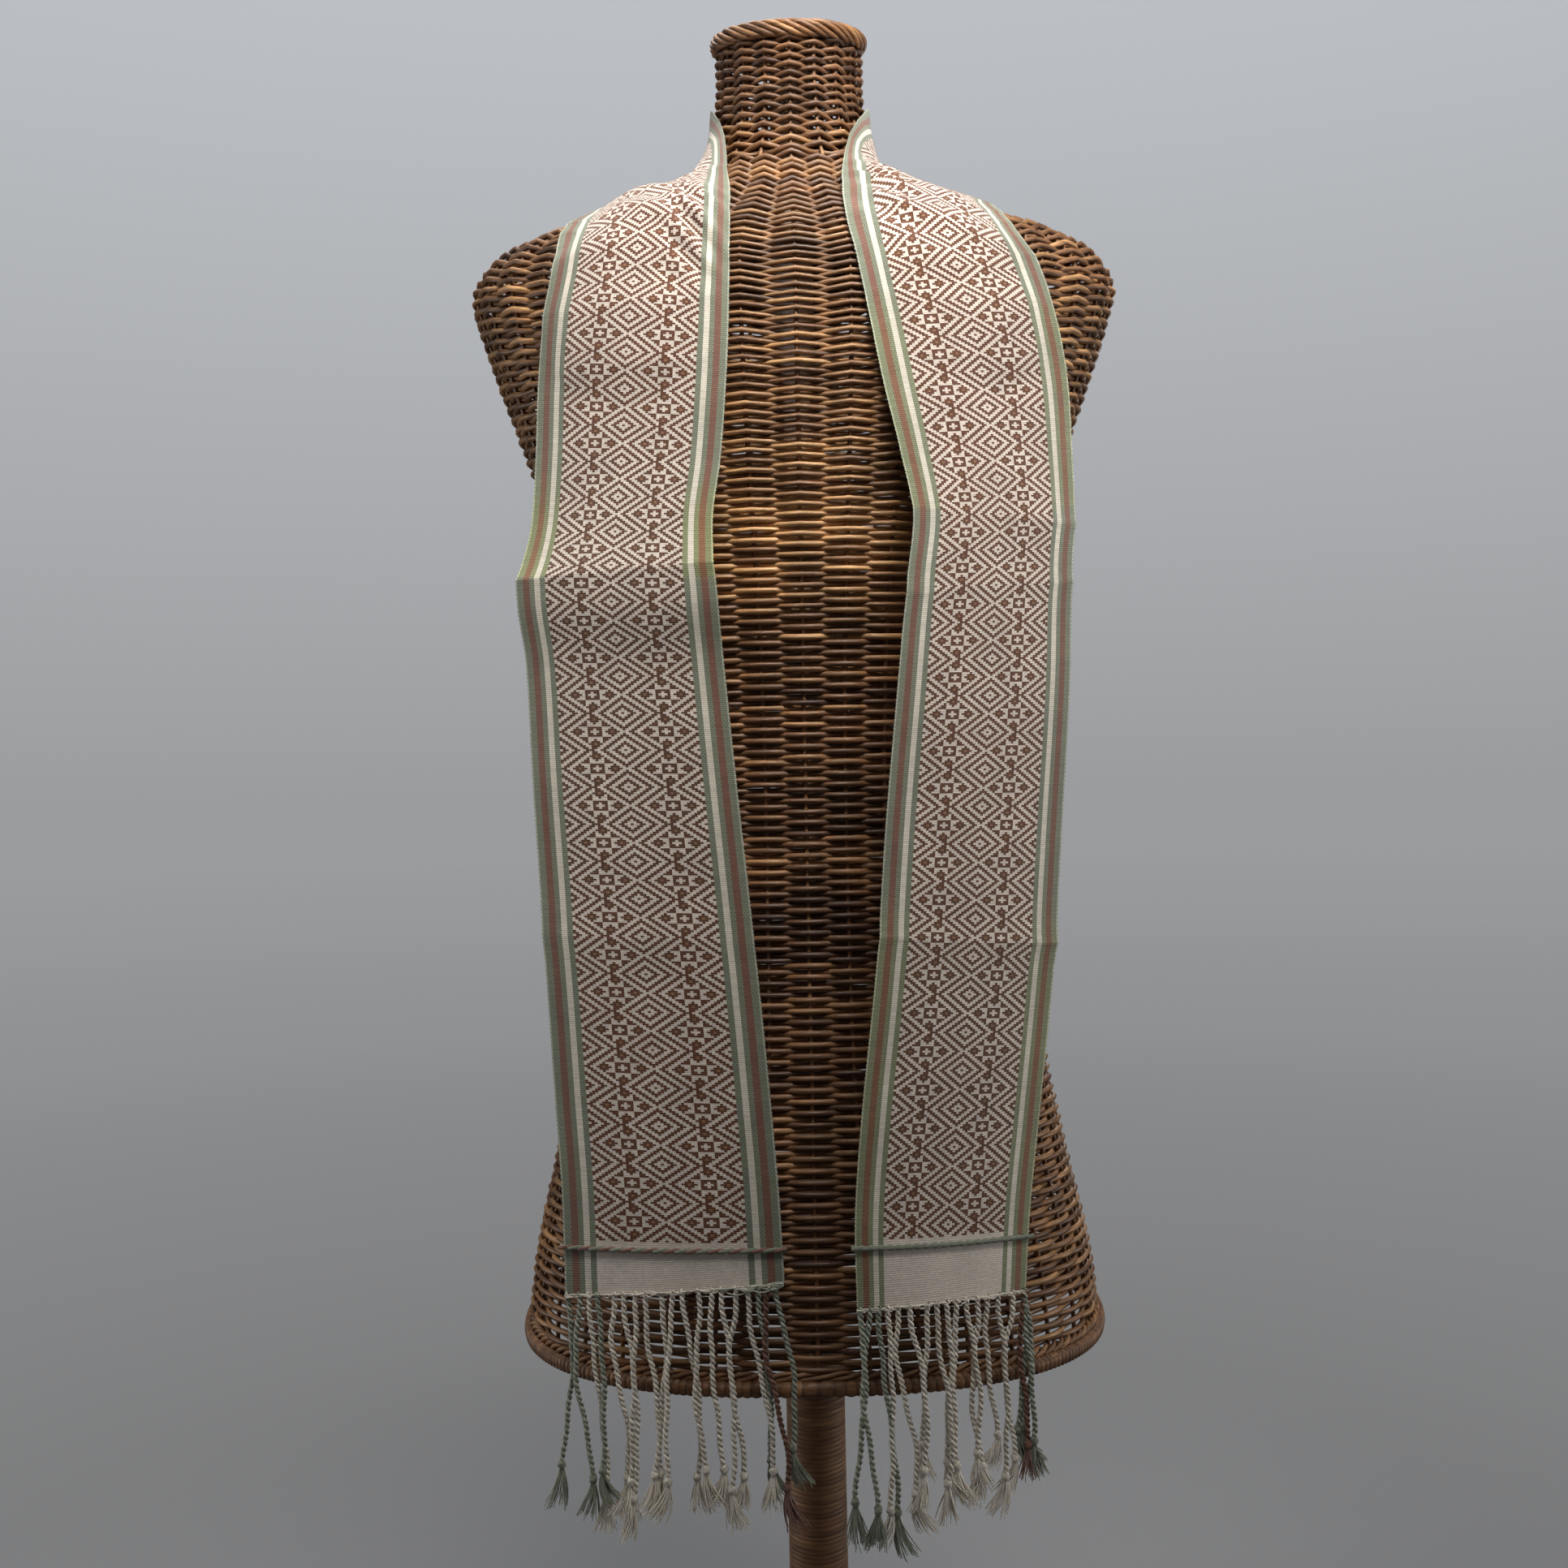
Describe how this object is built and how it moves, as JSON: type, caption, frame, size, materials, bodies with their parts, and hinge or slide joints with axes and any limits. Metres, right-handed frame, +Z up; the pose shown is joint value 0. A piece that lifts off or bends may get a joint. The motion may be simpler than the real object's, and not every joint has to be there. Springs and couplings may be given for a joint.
{
  "type": "pua cloth scarf on wicker display torso",
  "caption": "Narrow handwoven patterned scarf with knotted fringes, draped round the neck of a headless wicker display torso on a wrapped pole and round wooden foot.",
  "frame": {"origin": "centre of the foot's underside, on the surface that the stand rests on", "axes": "+Z up along the pole, the chest faces -Y, +X is the viewer's right when facing the chest"},
  "size_m": [0.354, 0.33, 1.0142],
  "materials": {
    "foot_wood": "dark stained turned wood, satin",
    "cane_wrap": "stained split cane, wound tightly, satin",
    "wicker": "stained and varnished rattan rods, satin, colour varies from honey to dark brown",
    "patterned_cloth": "handwoven cotton, cream ground with brown diamonds and stars, green, rust and cream stripes at both selvedges",
    "coloured_yarn": "matte cotton yarn, rust and green by turns",
    "fringe_yarn": "matte twisted cotton cords, cream, with green and rust ones at the sides"
  },
  "bodies": {
    "root": {"foot": "foot_wood", "pole": "cane_wrap", "torso": "wicker", "rim_band": "cane_wrap", "neck_border": "wicker", "scarf": "patterned_cloth", "twined_row_left": "coloured_yarn", "twined_row_right": "coloured_yarn", "fringe_left": "fringe_yarn", "fringe_right": "fringe_yarn"}
  },
  "joints": []
}
